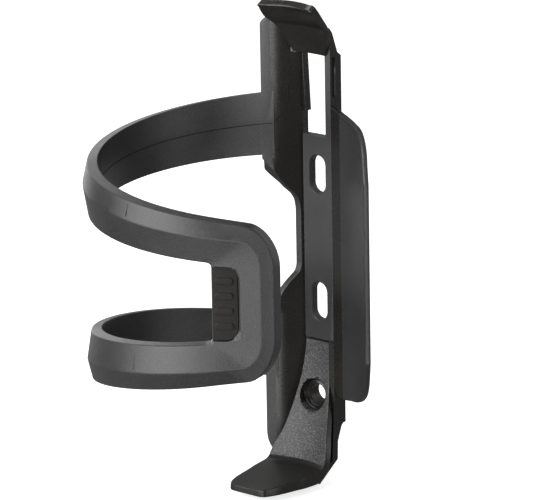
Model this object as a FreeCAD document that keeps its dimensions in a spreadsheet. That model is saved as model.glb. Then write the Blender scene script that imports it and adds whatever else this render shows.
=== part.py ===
import FreeCAD, Part
import Sketcher
import math
import os

# Side-entry water bottle cage for a bicycle frame, moulded in glass-filled nylon.
# Frame: +X to the side with the wing, -Y towards the bottle, +Z up.  The origin is the middle
# of the standard 64 mm bolt spacing, on the flat back that rests on the frame's two bosses.

V = FreeCAD.Vector
doc = FreeCAD.newDocument("bottle_cage")
sheet = doc.addObject("Spreadsheet::Sheet", "Dimensions")

DIMENSIONS = {
    "bolt_spacing": 64.0,
    "slot_width": 5.5,
    "slot_length": 11.0,
    "slot_step": 37.1,
    "plate_width": 10.4,
    "plate_thickness": 2.5,
    "plate_top": 43.2,
    "plate_bottom": -16.2,
    "rail_width": 2.0,
    "rail_depth": 4.8,
    "rail_top": 67.0,
    "rail_bottom": -40.0,
    "rail_neck_top": 75.4,
    "rail_neck_bottom": -50.4,
    "waist_low": 1.5,
    "waist_high": 24.0,
    "bottle_radius": 35.5,
    "bottle_gap": 2.26,
    "wall": 1.6,
    "side_floor": 0.7,
    "wing_flare": 1.4,
    "wing_top": 52.3,
    "wing_bottom": -31.4,
    "arm_edge": 3.0,
    "arm_ridge": 4.6,
    "arm_draft": 0.45,
    "loop_fuller": 0.8,
    "loop_centre": 13.0,
    "bolt_radius": 2.75,
    "seat_radius": 4.75,
    "seat_depth": 3.5,
    "panel_floor": 2.0,
    "panel_skin": 0.8,
    "panel_pad": 0.45,
    "backing_wall": 1.6,
}
for row, (alias, value) in enumerate(DIMENSIONS.items(), start=1):
    sheet.set("A%d" % row, alias)
    sheet.set("B%d" % row, "%g" % value)
    sheet.setAlias("B%d" % row, alias)
doc.recompute()


def dim(alias):
    """Reads one driving dimension from the sheet."""
    return float(getattr(sheet, alias))


AXIS_Y = -(dim("plate_thickness") + dim("bottle_gap") + dim("bottle_radius"))
RAIL_IN = dim("plate_width") / 2.0
RAIL_OUT = RAIL_IN + dim("rail_width")
LOWER_BOLT = -dim("bolt_spacing") / 2.0
NODES = []


def finish_node(obj, label):
    """Gives a sub-part its own name and keeps it for the export."""
    obj.Label = label
    NODES.append(obj)
    return obj


# ---------------------------------------------------------------- shared geometry

def around(radius, angle, height=0.0):
    """A point on a circle round the bottle's axis; angle 0 is at the spine, 90 at +X."""
    turn = math.radians(angle)
    return V(radius * math.sin(turn), AXIS_Y + radius * math.cos(turn), height)


def polygon(points):
    return Part.makePolygon(list(points) + [points[0]])


def prism(wire, direction):
    return Part.Face(wire).extrude(direction)


def front_outline(points, arcs=()):
    """An outline seen from the front, in X and Z, as a wire on the plane Y = 0.

    arcs names the points that are the middle of a three-point arc.
    """
    return outline([V(x, 0.0, z) for x, z in points], arcs)


def outline(points, arcs=()):
    edges = []
    count = len(points)
    index = 0
    while index < count:
        following = (index + 1) % count
        if following in arcs:
            end = (index + 2) % count
            edges.append(Part.Arc(points[index], points[following], points[end]).toShape())
            index += 2
        else:
            edges.append(Part.LineSegment(points[index], points[following]).toShape())
            index += 1
    return Part.Wire(edges)


def front_prism(points, arcs=()):
    """A block with the given front outline that runs through the whole depth of the cage."""
    wire = front_outline(points, arcs)
    wire.translate(V(0.0, 20.0, 0.0))
    return prism(wire, V(0.0, -120.0, 0.0))


def side_prism(points, half_width):
    """A block with the given side outline, in Y and Z, centred on the spine."""
    wire = polygon([V(-half_width, y, z) for y, z in points])
    return prism(wire, V(2.0 * half_width, 0.0, 0.0))


def shape_node(shape, label):
    """A sub-part whose form is set directly; it keeps the document's own placement."""
    obj = doc.addObject("Part::Feature", label)
    obj.Shape = shape
    obj.Placement = FreeCAD.Placement(V(0.0, 0.0, 0.0), FreeCAD.Rotation())
    return finish_node(obj, label)


def one_solid(shape):
    """The single solid of a boolean result."""
    solids = shape.Solids
    if len(solids) != 1:
        raise RuntimeError("expected one solid, found %d" % len(solids))
    return solids[0]


# ---------------------------------------------------------------- slot plate

def rectangle_sketch(body, name, plane_role, width, height, lift):
    """A rectangle centred on X whose width, height and lift above the origin are expressions."""
    plane = [f for f in body.Origin.OriginFeatures if f.Role == plane_role][0]
    sketch = body.newObject("Sketcher::SketchObject", name)
    sketch.AttachmentSupport = [(plane, "")]
    sketch.MapMode = "FlatFace"
    corners = [V(-4, 0, 0), V(4, 0, 0), V(4, 9, 0), V(-4, 9, 0)]
    for k in range(4):
        sketch.addGeometry(Part.LineSegment(corners[k], corners[(k + 1) % 4]), False)
    constraints = [Sketcher.Constraint("Coincident", k, 2, (k + 1) % 4, 1) for k in range(4)]
    constraints += [Sketcher.Constraint("Horizontal", 2)]
    constraints += [Sketcher.Constraint("Vertical", 1), Sketcher.Constraint("Vertical", 3)]
    constraints += [Sketcher.Constraint("Symmetric", 0, 1, 0, 2, -2)]
    sketch.addConstraint(constraints)
    sketch.addConstraint(Sketcher.Constraint("DistanceX", 0, 1, 0, 2, 8.0))
    sketch.setExpression("Constraints[%d]" % (len(constraints)), width)
    sketch.addConstraint(Sketcher.Constraint("DistanceY", 1, 1, 1, 2, 9.0))
    sketch.setExpression("Constraints[%d]" % (len(constraints) + 1), height)
    sketch.addConstraint(Sketcher.Constraint("DistanceY", -1, 1, 0, 1, 1.0))
    sketch.setExpression("Constraints[%d]" % (len(constraints) + 2), lift)
    return sketch


def slot_sketch(body, name, centre):
    """An upright slot on the spine's centre line, round at both ends."""
    plane = [f for f in body.Origin.OriginFeatures if f.Role == "XZ_Plane"][0]
    sketch = body.newObject("Sketcher::SketchObject", name)
    sketch.AttachmentSupport = [(plane, "")]
    sketch.MapMode = "FlatFace"
    r = 2.0
    half = 3.0
    up = V(0, 0, 1)
    sketch.addGeometry(Part.ArcOfCircle(Part.Circle(V(0, half, 0), up, r), 0.0, math.pi), False)
    sketch.addGeometry(Part.ArcOfCircle(Part.Circle(V(0, -half, 0), up, r), math.pi, 2 * math.pi), False)
    sketch.addGeometry(Part.LineSegment(V(-r, half, 0), V(-r, -half, 0)), False)
    sketch.addGeometry(Part.LineSegment(V(r, -half, 0), V(r, half, 0)), False)
    sketch.addConstraint([
        Sketcher.Constraint("Tangent", 0, 2, 2, 1),
        Sketcher.Constraint("Tangent", 2, 2, 1, 1),
        Sketcher.Constraint("Tangent", 1, 2, 3, 1),
        Sketcher.Constraint("Tangent", 3, 2, 0, 1),
        Sketcher.Constraint("Vertical", 2),
        Sketcher.Constraint("PointOnObject", 0, 3, -2),
        Sketcher.Constraint("Equal", 0, 1),
        Sketcher.Constraint("Radius", 0, r),
    ])
    sketch.setExpression("Constraints[7]", "Dimensions.slot_width / 2")
    sketch.addConstraint(Sketcher.Constraint("DistanceY", 1, 3, 0, 3, 2 * half))
    sketch.setExpression("Constraints[8]", "Dimensions.slot_length - Dimensions.slot_width")
    sketch.addConstraint(Sketcher.Constraint("DistanceY", -1, 1, 1, 3, -half))
    sketch.setExpression("Constraints[9]",
                         centre + " - (Dimensions.slot_length - Dimensions.slot_width) / 2")
    return sketch


def make_slot_plate():
    body = doc.addObject("PartDesign::Body", "slot_plate")
    face = rectangle_sketch(body, "plate_face", "XZ_Plane", "Dimensions.plate_width",
                            "Dimensions.plate_top - Dimensions.plate_bottom",
                            "Dimensions.plate_bottom")
    pad = body.newObject("PartDesign::Pad", "plate_pad")
    pad.Profile = face
    pad.setExpression("Length", "Dimensions.plate_thickness")
    doc.recompute()
    if pad.Shape.BoundBox.YMax > 0.1:
        pad.Reversed = True
        doc.recompute()
    blank = pad.Shape.Volume
    centres = ("Dimensions.bolt_spacing / 2",
               "Dimensions.bolt_spacing / 2 - Dimensions.slot_step")
    for k, centre in enumerate(centres):
        sketch = slot_sketch(body, "slot_%d" % (k + 1), centre)
        pocket = body.newObject("PartDesign::Pocket", "slot_cut_%d" % (k + 1))
        pocket.Profile = sketch
        pocket.Type = "ThroughAll"
        pocket.Midplane = True
        doc.recompute()
    rim = body.newObject("PartDesign::Chamfer", "slot_rim")
    edges = []
    for number, edge in enumerate(pocket.Shape.Edges, 1):
        box = edge.BoundBox
        at_front = abs(box.YMin + dim("plate_thickness")) < 0.01 and box.YLength < 0.01
        if at_front and box.XLength < dim("slot_width") + 0.1 and abs(box.Center.x) < 3.0:
            edges.append("Edge%d" % number)
    rim.Base = (pocket, edges)
    rim.Size = 0.3
    doc.recompute()
    cut = blank - body.Shape.Volume
    one_slot = (dim("slot_width") * (dim("slot_length") - dim("slot_width"))
                + math.pi * dim("slot_width") ** 2 / 4.0) * dim("plate_thickness")
    if cut < 2.0 * one_slot - 1.0:
        raise RuntimeError("the slots were not cut: %.1f of %.1f" % (cut, 2.0 * one_slot))
    return finish_node(body, "slot_plate")


# ---------------------------------------------------------------- foot that carries the bottle

FOOT_FOLD = -50.3          # height at which the upright of the foot turns into its shelf
SHELF_REACH = -35.4        # how far forward the shelf reaches
SHELF_TOP = -52.6          # the shelf falls towards the bottle's axis
SHELF_UNDER = -54.2


def foot_profile():
    """Radius from the bottle's axis against height: the bottle's rounded bottom corner."""
    face_curve = Part.BSplineCurve()
    face_curve.interpolate([V(37.2, 0, dim("plate_bottom")), V(36.1, 0, -25.9),
                            V(33.4, 0, -36.6), V(29.1, 0, -48.4)])
    back_curve = Part.BSplineCurve()
    back_curve.interpolate([V(31.2, 0, -50.2), V(35.4, 0, -38.0),
                            V(37.9, 0, -26.5), V(38.66, 0, dim("plate_bottom"))])
    fold = Part.Arc(V(29.1, 0, -48.4), V(28.1, 0, -50.0), V(26.2, 0, -50.8))
    rest = [V(26.2, 0, -50.8), V(0, 0, SHELF_TOP), V(0, 0, SHELF_UNDER), V(24.0, 0, -54.6),
            V(27.6, 0, -54.4), V(31.2, 0, -50.2)]
    edges = [face_curve.toShape(), fold.toShape()]
    edges += [Part.LineSegment(a, b).toShape() for a, b in zip(rest[:-1], rest[1:])]
    edges += [back_curve.toShape(),
              Part.LineSegment(V(38.66, 0, dim("plate_bottom")),
                               V(37.2, 0, dim("plate_bottom"))).toShape()]
    return Part.Wire(edges)


def revolve_sector(wire, half_angle):
    """Turns a profile in the X-Z plane into a sector round the bottle's axis at the spine."""
    face = Part.Face(wire)
    face.rotate(V(0, 0, 0), V(0, 0, 1), 90.0 - half_angle)
    solid = face.revolve(V(0, 0, 0), V(0, 0, 1), 2.0 * half_angle)
    solid.translate(V(0, AXIS_Y, 0))
    return solid


def make_foot():
    sector = revolve_sector(foot_profile(), 80.0)
    upright = front_prism([(-4.3, -16.2), (-4.5, -20.0), (-5.8, -30.3), (-7.9, -41.5),
                           (-10.2, -49.4), (-10.2, FOOT_FOLD), (10.2, FOOT_FOLD), (10.2, -49.4),
                           (7.9, -41.5), (5.8, -30.3), (4.5, -20.0), (4.3, -16.2)])
    half = [(10.2, -5.0), (10.0, -19.0), (9.2, -24.5), (8.2, -30.0), (7.4, -32.6),
            (6.4, SHELF_REACH + 0.9), (4.7, SHELF_REACH)]
    plan = [(-x, y) for x, y in half] + list(reversed(half))
    shelf_wire = outline([V(x, y, FOOT_FOLD) for x, y in plan], arcs=(5, 8))
    shelf = prism(shelf_wire, V(0, 0, -10.0))
    foot = sector.common(upright.fuse(shelf)).removeSplitter()
    seat_y = -dim("seat_depth")
    boss = Part.makeCylinder(dim("seat_radius") + 0.3, -seat_y + 0.6 - dim("backing_wall"),
                             V(0, -dim("backing_wall"), LOWER_BOLT), V(0, -1, 0))
    seat = Part.makeCylinder(dim("seat_radius"), 20.0, V(0, seat_y, LOWER_BOLT), V(0, -1, 0))
    hole = Part.makeCylinder(dim("bolt_radius"), 20.0, V(0, 1.0, LOWER_BOLT), V(0, -1, 0))
    foot = foot.fuse(boss).cut(seat).cut(hole).removeSplitter()
    return one_solid(foot)


# ---------------------------------------------------------------- hook over the bottle's shoulder

def hook_profile():
    points = [(35.3, 67.4), (34.5, 70.2), (33.0, 74.1), (32.4, 75.7), (30.4, 77.6), (28.6, 80.6),
              (27.6, 81.5), (27.2, 82.6), (27.8, 84.2), (29.3, 83.2), (33.9, 76.7), (36.3, 71.6),
              (37.3, 67.4)]
    return polygon([V(radius, 0, height) for radius, height in points])


def make_hook():
    sector = revolve_sector(hook_profile(), 60.0)
    wing_side = [(5.95, 67.4), (9.1, 75.4), (8.7, 77.6), (8.4, 80.3), (7.3, 82.0)]
    arm_side = [(-10.9, 81.5), (-11.1, 79.8), (-10.95, 78.2), (-9.9, 75.8), (-5.95, 67.4)]
    points = wing_side + [(-2.0, 83.2)] + arm_side
    return one_solid(sector.common(front_prism(points, arcs=(len(wing_side),))))


# ---------------------------------------------------------------- rails of the spine

def rail_outline():
    low = dim("rail_bottom")
    top = dim("rail_top")
    front = -dim("rail_depth")
    return [(0.0, low), (0.0, top), (-1.5, top + 1.1), (-3.6, 73.8), (front, dim("rail_neck_top")),
            (front, -30.0), (front - 1.3, dim("rail_neck_bottom")),
            (-3.7, dim("rail_neck_bottom")), (-3.5, -45.1), (-1.9, low - 1.0), (-1.2, low - 0.2)]


def rail_blank(side):
    wire = polygon([V(side * RAIL_IN, y, z) for y, z in rail_outline()])
    return prism(wire, V(side * dim("rail_width"), 0, 0))


def side_groove(side):
    """The shallow groove down the outside of a rail beside the window, round at its foot."""
    depth = 0.6
    middle = -3.2
    half = 0.7
    foot = 56.0
    start = side * (RAIL_OUT - depth)
    length = V(side * 2.0 * depth, 0, 0)
    box = prism(polygon([V(start, middle - half, foot), V(start, middle + half, foot),
                         V(start, middle + half, 67.0), V(start, middle - half, 67.0)]), length)
    end = Part.makeCylinder(half, 2.0 * depth, V(start, middle, foot), V(side, 0, 0))
    return box.fuse(end)


def waist_pocket():
    """Where the wing's side of the spine is cut down to the plate, with a ramp below it."""
    floor = -dim("plate_thickness")
    high = dim("waist_high")
    low = dim("waist_low")
    ramp_end = -15.3
    points = [(floor, high), (floor, low), (floor - 1.5, ramp_end), (-12.0, ramp_end), (-12.0, high)]
    wire = polygon([V(RAIL_IN, y, z) for y, z in points])
    return prism(wire, V(dim("rail_width") + 0.5, 0, 0))


# ---------------------------------------------------------------- measures of the arms

ROOT = 20.0                # the arms leave the spine at this angle, round the -X side
ARM_END = 205.0            # from here the loop turns from the upper arm to the lower one
GAP_END = 214.0            # the gap between the arms ends here
DEG_MM = 0.7               # millimetres along the arm for each degree
CORNER = 0.8               # inner corner radius of the gap


def outer_height(turn):
    """Half height of the arms' outer edges above the loop's centre."""
    return 42.2 - 0.0965 * (turn - ROOT)


def ridge_height(turn):
    return 34.2 - 0.0807 * (turn - ROOT)


def gap_height(turn):
    return 23.8 - 0.0665 * (turn - ROOT)


def inner_radius(turn):
    """The loop's end stands away from the bottle, so that the bottle slides in from the side."""
    past = max(0.0, turn - 210.0) * math.pi / 180.0
    return dim("bottle_radius") + 28.0 * past ** 3


# ---------------------------------------------------------------- flanges and wing

CREASE = 20.0              # angle of the crease where each side meets the bottle's cylinder
FLANGE_EDGE = 26.0
SHEET_ROOT = 6.6           # the left side wall rises from the spine's floor at this distance
FLANGE_LOW_END = 22.0      # heights between which the side wall is cut back to the spine
FLANGE_HIGH_END = 4.0


def strip_plan(side, plan_root, plan_back, edge_angle, flare):
    """Plan of a side strip: straight from its root to the crease, then round the bottle."""
    radius = dim("bottle_radius")
    wall = dim("wall")

    def flared(angle, extra=0.0):
        share = (angle - CREASE) / 30.0
        return around(radius + extra + flare * share * share, side * angle)

    middle = (CREASE + edge_angle) / 2.0
    points = [flared(CREASE), flared(middle), flared(edge_angle),
              flared(edge_angle, wall), flared(middle, wall), flared(CREASE, wall)]
    points += [V(side * x, y, 0) for x, y in plan_back + [plan_root]]
    wire = outline(points, arcs=(1, 4))
    wire.translate(V(0, 0, -100.0))
    return prism(wire, V(0, 0, 200.0))


def waist_profile(points):
    """A side-view curve, in Y and Z, as one smooth edge."""
    curve = Part.BSplineCurve()
    curve.interpolate([V(-40.0, y, z) for y, z in points])
    return curve.toShape()


def waist_cut():
    """The opening beside the slots: the side wall is cut back almost to the spine."""
    low = [(-8.9, -10.8), (-7.2, -7.6), (-5.5, -3.3), (-4.2, -0.9),
           (-2.8, 1.1), (-1.9, 2.5), (-1.5, 4.8)]
    high = [(-1.5, 20.0), (-1.8, 23.1), (-2.6, 25.1), (-3.8, 26.6),
            (-5.6, 29.3), (-7.3, 33.0), (-8.9, 36.8)]
    far = -60.0
    corners = [V(-40.0, *low[-1]), V(-40.0, *high[0])]
    edges = [waist_profile(low), Part.LineSegment(*corners).toShape(), waist_profile(high)]
    rim = [V(-40.0, *high[-1]), V(-40.0, far, high[-1][1]),
           V(-40.0, far, low[0][1]), V(-40.0, *low[0])]
    edges += [Part.LineSegment(a, b).toShape() for a, b in zip(rim[:-1], rim[1:])]
    return prism(Part.Wire(edges), V(40.0, 0, 0))


def behind_ends():
    """The space behind the spine where its two ends lean forward."""
    shapes = []
    for points in ([(0.0, 67.0), (-1.5, 68.1), (-3.6, 73.8), (-3.6, 90.0), (9.0, 90.0), (9.0, 67.0)],
                   [(0.0, -40.0), (-1.2, -40.2), (-1.9, -41.0), (-3.5, -45.1), (-3.7, -50.4),
                    (-3.7, -60.0), (9.0, -60.0), (9.0, -40.0)]):
        shapes.append(side_prism(points, 30.0))
    return shapes


def side_sheet():
    """The left side wall over its whole height, open at the waist."""
    shape = strip_plan(-1, (SHEET_ROOT, -dim("side_floor")), [(8.15, 0.0), (SHEET_ROOT, 0.0)],
                       FLANGE_EDGE, 0.0)
    for other in [waist_cut()] + behind_ends():
        shape = shape.cut(other)
    return shape


def flange_outline(high):
    """Where the side wall is a flange: above and below the waist."""
    if high:
        return [(-5.0, FLANGE_LOW_END), (-20.0, FLANGE_LOW_END), (-20.0, 70.0), (-17.5, 74.4),
                (-15.4, 76.3), (-5.0, 76.3)]
    return [(-5.0, FLANGE_HIGH_END), (-20.0, FLANGE_HIGH_END), (-20.0, -46.0), (-16.9, -47.3),
            (-13.2, -51.4), (-5.0, -52.8)]


def arm_root(high):
    """The block that an arm takes out of its flange, from the crease outwards."""
    past_edge = FLANGE_EDGE + 4.0
    points = []
    for turn, height in ((ROOT, gap_height), (ROOT, outer_height),
                         (past_edge, outer_height), (past_edge, gap_height)):
        rise = height(turn) if high else -height(turn)
        points.append((around(dim("bottle_radius"), -turn).x, dim("loop_centre") + rise))
    return front_prism(points)


def make_flange(high, neighbours):
    shape = side_sheet().common(front_prism(flange_outline(high))).cut(arm_root(high))
    for other in neighbours:
        shape = shape.cut(other)
    return largest(shape)


def largest(shape):
    """Drops slivers that a cut leaves behind."""
    return max(shape.Solids, key=lambda solid: solid.Volume)


def make_wing():
    top = dim("wing_top")
    low = dim("wing_bottom")
    points = [(RAIL_OUT, top + 0.9), (11.6, top), (20.3, top - 1.7), (26.0, top - 4.2),
              (28.9, top - 11.0), (30.6, top - 16.0), (30.6, low + 17.0), (28.8, low + 11.5),
              (24.6, low + 4.4), (17.0, low + 1.1), (12.5, low + 0.2), (RAIL_OUT, low)]
    front = -dim("rail_depth")
    shape = strip_plan(1, (RAIL_OUT, front), [(RAIL_OUT, front + dim("wall"))], 50.0, dim("wing_flare"))
    shape = shape.common(front_prism(points, arcs=(3, 8)))
    return one_solid(shape.cut(waist_pocket()))


# ---------------------------------------------------------------- arms and the loop between them

# Each contour is a line that follows the arm and then turns down round the end of the loop:
# height of the arm part, angle of the end, corner size along the arm and in height.
RIM_INNER = (outer_height, 241.7, 11.0, 11.0)
RIM_OUTER = (lambda turn: outer_height(turn) - dim("arm_draft"), 238.1, 10.0, 11.5)
RIDGE = (ridge_height, 233.1, 7.0, 7.0)
RIM_DRAFT = 0.25
FULLER_START = 214.0
FULLER_SPAN = 18.0


def inside(contour, turn, height):
    rise, end, corner_turn, corner_height = contour
    if turn > end or height > rise(turn):
        return False
    across = (turn - (end - corner_turn)) / corner_turn
    up = (height - (rise(turn) - corner_height)) / corner_height
    return across <= 0.0 or up <= 0.0 or across * across + up * up <= 1.0


def reach(contour, start, ray):
    """Where a ray from the start, in degrees and millimetres, meets a contour."""
    near = 0.0
    far = 60.0
    for _ in range(40):
        middle = (near + far) / 2.0
        if inside(contour, start[0] + ray[0] * middle, start[1] + ray[1] * middle):
            near = middle
        else:
            far = middle
    return start[0] + ray[0] * near, start[1] + ray[1] * near


def rim_reach(turn):
    """How far the outer rim's front edge stands out; it is fuller round the loop."""
    share = min(max((turn - FULLER_START) / FULLER_SPAN, 0.0), 1.0)
    return RIM_DRAFT + dim("arm_edge") + dim("loop_fuller") * share * share * (3.0 - 2.0 * share)


def section(start, ray, mirrored):
    """Six corners of the band's cross-section along one ray, as a closed wire."""
    length = math.hypot(ray[0] * DEG_MM, ray[1])
    ray = (ray[0] / length, ray[1] / length)
    gap = (start[0] + ray[0] * CORNER, start[1] + ray[1] * CORNER)
    gap_out = (gap[0] + ray[0] * dim("arm_draft"), gap[1] + ray[1] * dim("arm_draft"))
    crease = reach(RIDGE, start, ray)
    rim = reach(RIM_OUTER, start, ray)
    corners = [
        (reach(RIM_INNER, start, ray), RIM_DRAFT),
        (rim, rim_reach(rim[0])),
        (crease, dim("arm_ridge")),
        (gap_out, RIM_DRAFT + dim("arm_edge")),
        (gap, RIM_DRAFT),
        (crease, 0.0),
    ]
    points = []
    for (turn, height), extra in corners:
        level = dim("loop_centre") + (-height if mirrored else height)
        points.append(around(inner_radius(turn) + extra, -turn, level))
    return polygon(points)


def arm_sections(start_turn, end_turn, mirrored, count):
    wires = []
    for k in range(count + 1):
        turn = start_turn + (end_turn - start_turn) * k / count
        wires.append(section((turn, gap_height(turn) - CORNER), (0.0, 1.0), mirrored))
    return wires


def loop_sections(mirrored):
    """From the end of an arm round the corner of the gap to the middle of the loop."""
    pivot = (GAP_END - CORNER / DEG_MM, gap_height(GAP_END) - CORNER)
    wires = arm_sections(ARM_END, pivot[0], mirrored, 2)
    fan = 10
    for k in range(1, fan + 1):
        swing = math.radians(90.0 - 90.0 * k / fan)
        wires.append(section(pivot, (math.cos(swing) / DEG_MM, math.sin(swing)), mirrored))
    for share in (0.66, 0.33):
        wires.append(section((pivot[0], pivot[1] * share), (1.0 / DEG_MM, 0.0), mirrored))
    return wires


def make_arm(mirrored):
    return one_solid(Part.makeLoft(arm_sections(ROOT, ARM_END, mirrored, 22), True, False))


def make_loop():
    pivot_turn = GAP_END - CORNER / DEG_MM
    middle = [section((pivot_turn, 0.0), (1.0 / DEG_MM, 0.0), False)]
    lower = list(reversed(loop_sections(True)))
    return one_solid(Part.makeLoft(loop_sections(False) + middle + lower, True, True))


# ---------------------------------------------------------------- panel set into the loop

PANEL_MIDDLE = 219.5
PANEL_RIGHT = 3.9
PANEL_HALF_HEIGHT = 10.4


def shell_between(low, high):
    """The layer of the loop between two distances from its inner face."""
    wires = []
    for k in range(7):
        turn = 210.0 + 3.0 * k
        base = inner_radius(turn)
        wires.append(polygon([around(base + low, -turn, -2.0), around(base + high, -turn, -2.0),
                              around(base + high, -turn, 28.0), around(base + low, -turn, 28.0)]))
    return Part.makeLoft(wires, True, True)


def radial_prism(points, arcs=()):
    """A block that runs out from the bottle's axis through an outline on the loop."""
    outward = around(1.0, -PANEL_MIDDLE) - V(0, AXIS_Y, 0)
    along = V(-outward.y, outward.x, 0)
    centre = V(0, AXIS_Y, dim("loop_centre")) + outward * 25.0
    wire = outline([centre + along * a + V(0, 0, b) for a, b in points], arcs)
    return prism(wire, outward * 30.0)


def panel_window():
    right = PANEL_RIGHT
    top = PANEL_HALF_HEIGHT
    r = 3.6
    bow = r * (1.0 - math.sqrt(0.5))
    left = -8.0
    points = [(left, top), (right - r, top), (right - bow, top - bow), (right, top - r),
              (right, r - top), (right - bow, bow - top), (right - r, -top), (left, -top)]
    return radial_prism(points, arcs=(2, 5))


def panel_pads():
    """Plain raised grip ribs across the panel, round at both ends."""
    pads = []
    half_width = 2.6
    half_height = 1.0
    middle = -0.1
    straight = half_width - half_height
    for rib in (-1.5, -0.5, 0.5, 1.5):
        level = rib * 4.2
        points = [(middle - straight, level + half_height), (middle + straight, level + half_height),
                  (middle + half_width, level), (middle + straight, level - half_height),
                  (middle - straight, level - half_height), (middle - half_width, level)]
        pads.append(radial_prism(points, arcs=(2, 5)))
    return pads


def make_panel(loop):
    floor = dim("panel_floor")
    skin = shell_between(floor, floor + dim("panel_skin")).common(panel_window())
    raised = shell_between(floor + dim("panel_skin") - 0.05,
                           floor + dim("panel_skin") + dim("panel_pad"))
    panel = skin.common(loop)
    for pad in panel_pads():
        panel = panel.fuse(raised.common(pad))
    return one_solid(panel.removeSplitter())


# ---------------------------------------------------------------- small walls behind the foot

def make_backing():
    """The wall between the rails that takes the lower bolt."""
    wall = doc.addObject("Part::Box", "backing_block")
    wall.setExpression("Length", "Dimensions.plate_width")
    wall.setExpression("Width", "Dimensions.backing_wall")
    wall.setExpression("Height", "Dimensions.plate_bottom - Dimensions.rail_bottom")
    wall.setExpression("Placement.Base.x", "-Dimensions.plate_width / 2")
    wall.setExpression("Placement.Base.y", "-Dimensions.backing_wall")
    wall.setExpression("Placement.Base.z", "Dimensions.rail_bottom")
    bolt = doc.addObject("Part::Cylinder", "backing_bolt")
    bolt.setExpression("Radius", "Dimensions.bolt_radius")
    bolt.Height = 20.0
    bolt.Placement = FreeCAD.Placement(V(0, 5.0, 0), FreeCAD.Rotation(V(1, 0, 0), 90.0))
    bolt.setExpression("Placement.Base.z", "-Dimensions.bolt_spacing / 2")
    cut = doc.addObject("Part::Cut", "bolt_wall")
    cut.Base = wall
    cut.Tool = bolt
    return finish_node(cut, "bolt_wall")


def window_wedge(side):
    """The back of a rail beside the window, thicker towards the window's foot."""
    foot = dim("plate_top") + 6.6
    top = dim("rail_top") - 0.4
    points = [(side * RAIL_IN, foot), (side * (RAIL_IN - 1.2), foot),
              (side * (RAIL_IN - 0.3), top), (side * RAIL_IN, top)]
    return prism(front_outline(points), V(0, -dim("rail_depth") / 2.0, 0))


def tail_wall(foot):
    points = [(-1.2, -40.2), (-1.9, -41.0), (-3.5, -45.1), (-3.7, -50.4), (-5.4, -50.4),
              (-5.1, -45.2), (-3.0, -40.0), (0.0, -40.0)]
    return largest(side_prism(points, RAIL_IN).cut(foot))


def tail_lip(foot):
    points = [(-3.7, -50.4), (-11.7, -56.0), (-13.2, -55.2), (-12.6, -53.6), (-6.1, -50.4)]
    return largest(side_prism(points, RAIL_OUT).cut(foot))


def make_right_rail(others):
    rail = rail_blank(1).fuse(window_wedge(1)).removeSplitter()
    rail = rail.cut(side_groove(1)).cut(waist_pocket())
    for other in others:
        rail = rail.cut(other)
    return largest(rail)


def make_left_rail(others):
    """The left rail is only a floor beside the plate; its two ends stand up to the hook and the tail."""
    room = side_prism([(-dim("side_floor"), -40.0), (-dim("side_floor"), 67.0), (-30.0, 67.0),
                       (-30.0, -40.0)], 30.0)
    stub = side_sheet().common(front_prism([(-5.0, FLANGE_HIGH_END), (-20.0, FLANGE_HIGH_END),
                                            (-20.0, FLANGE_LOW_END), (-5.0, FLANGE_LOW_END)]))
    floor = rail_blank(-1).cut(room)
    floor = floor.fuse(window_wedge(-1)).fuse(stub)
    for other in others:
        floor = floor.cut(other)
    return largest(floor.removeSplitter())


# ---------------------------------------------------------------- assembly

foot_shape = make_foot()
hook_shape = make_hook()
upper_arm = make_arm(False)
lower_arm = make_arm(True)
loop_blank = make_loop()
recess = shell_between(dim("panel_floor"), 9.0).common(panel_window())
panel_shape = make_panel(loop_blank)
loop_shape = one_solid(loop_blank.cut(recess))
left_rail = make_left_rail([foot_shape, hook_shape])
right_rail = make_right_rail([foot_shape, hook_shape])

make_slot_plate()
shape_node(left_rail, "rail_left")
shape_node(right_rail, "rail_right")
make_backing()
shape_node(foot_shape, "bottle_foot")
shape_node(hook_shape, "top_hook")
shape_node(tail_wall(foot_shape), "tail_wall")
shape_node(tail_lip(foot_shape), "tail_lip")
shape_node(make_flange(True, [hook_shape, left_rail]), "flange_upper")
shape_node(make_flange(False, [foot_shape, left_rail]), "flange_lower")
shape_node(make_wing(), "side_wing")
shape_node(upper_arm, "arm_upper")
shape_node(lower_arm, "arm_lower")
shape_node(loop_shape, "front_loop")
shape_node(panel_shape, "loop_panel")

doc.recompute()
for obj in doc.Objects:
    if {"Invalid", "Error"} & set(obj.State):
        raise RuntimeError("%s: %s" % (obj.Name, obj.State))

os.makedirs("parts", exist_ok=True)
for node in NODES:
    if node.Shape.isNull() or not node.Shape.isValid():
        raise RuntimeError("%s has no valid shape" % node.Label)
    node.Shape.exportStep("parts/%s.step" % node.Label)
    print("%-14s %9.1f mm3, %d solid" % (node.Label, node.Shape.Volume, len(node.Shape.Solids)))
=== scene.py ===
import bisect
import math

import bmesh
import bpy
from mathutils import Matrix, Vector


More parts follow.
